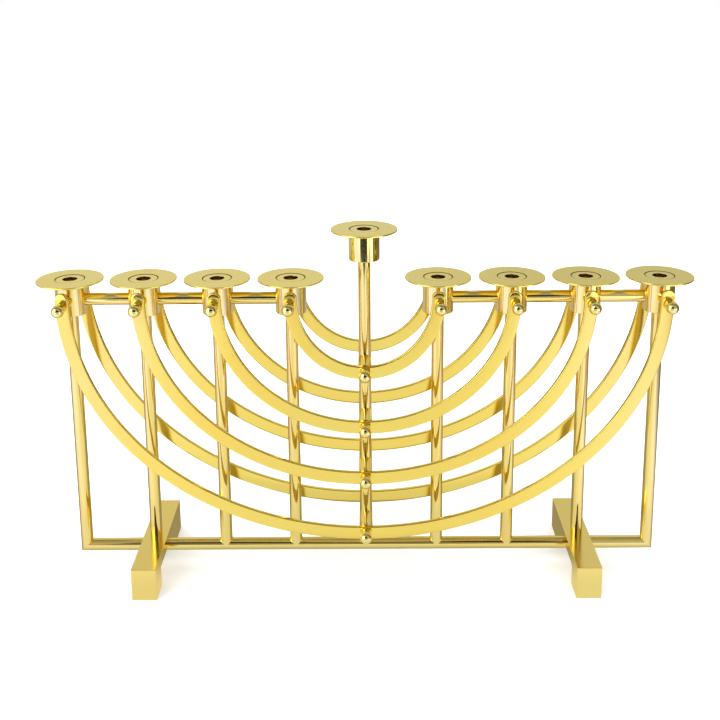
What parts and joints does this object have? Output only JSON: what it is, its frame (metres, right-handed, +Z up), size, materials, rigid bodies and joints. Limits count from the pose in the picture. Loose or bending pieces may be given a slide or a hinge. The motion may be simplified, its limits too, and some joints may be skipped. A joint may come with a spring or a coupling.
{
  "type": "menorah",
  "caption": "Nine-light menorah: rod frame with turned candle cups, loose round drip pans, and half-elliptical flat bars bolted in front and behind by ball-headed bolts.",
  "frame": {"origin": "on the ground, under the middle post, at the middle of the feet's length", "axes": "+X to the viewer's right along the row of cups, +Y to the back, +Z up"},
  "size_m": [0.632, 0.132, 0.35],
  "materials": {
    "polished_brass": "mirror-polished rod, gold in colour",
    "flat_bar_brass": "polished flat bar with a slight lengthwise grain",
    "turned_brass": "turned and polished, with faint turning rings",
    "ball_brass": "mirror-polished ball",
    "foot_brass": "polished flat faces with fine straight grain",
    "pan_brass": "satin-polished sheet with circular spinning marks"
  },
  "bodies": {
    "stand": {"left_foot": "foot_brass", "right_foot": "foot_brass", "bottom_rail": "polished_brass", "centre_post": "polished_brass", "left_top_rail": "polished_brass", "right_top_rail": "polished_brass", "upright_1": "polished_brass", "upright_2": "polished_brass", "upright_3": "polished_brass", "upright_4": "polished_brass", "upright_5": "polished_brass", "upright_6": "polished_brass", "upright_7": "polished_brass", "upright_8": "polished_brass", "cup_1": "turned_brass", "cup_2": "turned_brass", "cup_3": "turned_brass", "cup_4": "turned_brass", "cup_5": "turned_brass", "cup_6": "turned_brass", "cup_7": "turned_brass", "cup_8": "turned_brass", "shamash_cup": "turned_brass", "front_arc_1": "flat_bar_brass", "front_arc_2": "flat_bar_brass", "front_arc_3": "flat_bar_brass", "front_arc_4": "flat_bar_brass", "rear_arc_1": "flat_bar_brass", "rear_arc_2": "flat_bar_brass", "rear_arc_3": "flat_bar_brass", "rear_arc_4": "flat_bar_brass", "front_bolt_1": "ball_brass", "front_bolt_2": "ball_brass", "front_bolt_3": "ball_brass", "front_bolt_4": "ball_brass", "front_bolt_5": "ball_brass", "front_bolt_6": "ball_brass", "front_bolt_7": "ball_brass", "front_bolt_8": "ball_brass", "rear_bolt_1": "ball_brass", "rear_bolt_2": "ball_brass", "rear_bolt_3": "ball_brass", "rear_bolt_4": "ball_brass", "rear_bolt_5": "ball_brass", "rear_bolt_6": "ball_brass", "rear_bolt_7": "ball_brass", "rear_bolt_8": "ball_brass", "centre_bolt_1": "ball_brass", "centre_bolt_2": "ball_brass", "centre_bolt_3": "ball_brass", "centre_bolt_4": "ball_brass"},
    "pan_1": {"pan_1": "pan_brass"},
    "pan_2": {"pan_2": "pan_brass"},
    "pan_3": {"pan_3": "pan_brass"},
    "pan_4": {"pan_4": "pan_brass"},
    "pan_5": {"pan_5": "pan_brass"},
    "pan_6": {"pan_6": "pan_brass"},
    "pan_7": {"pan_7": "pan_brass"},
    "pan_8": {"pan_8": "pan_brass"},
    "shamash_pan": {"shamash_pan": "pan_brass"}
  },
  "joints": [
    {"name": "pan_1_lift", "type": "slide", "parent": "stand", "child": "pan_1", "axis": [0, 0, 1], "range_m": [0, 0.03]},
    {"name": "pan_2_lift", "type": "slide", "parent": "stand", "child": "pan_2", "axis": [0, 0, 1], "range_m": [0, 0.03]},
    {"name": "pan_3_lift", "type": "slide", "parent": "stand", "child": "pan_3", "axis": [0, 0, 1], "range_m": [0, 0.03]},
    {"name": "pan_4_lift", "type": "slide", "parent": "stand", "child": "pan_4", "axis": [0, 0, 1], "range_m": [0, 0.03]},
    {"name": "pan_5_lift", "type": "slide", "parent": "stand", "child": "pan_5", "axis": [0, 0, 1], "range_m": [0, 0.03]},
    {"name": "pan_6_lift", "type": "slide", "parent": "stand", "child": "pan_6", "axis": [0, 0, 1], "range_m": [0, 0.03]},
    {"name": "pan_7_lift", "type": "slide", "parent": "stand", "child": "pan_7", "axis": [0, 0, 1], "range_m": [0, 0.03]},
    {"name": "pan_8_lift", "type": "slide", "parent": "stand", "child": "pan_8", "axis": [0, 0, 1], "range_m": [0, 0.03]},
    {"name": "shamash_pan_lift", "type": "slide", "parent": "stand", "child": "shamash_pan", "axis": [0, 0, 1], "range_m": [0, 0.03]}
  ]
}
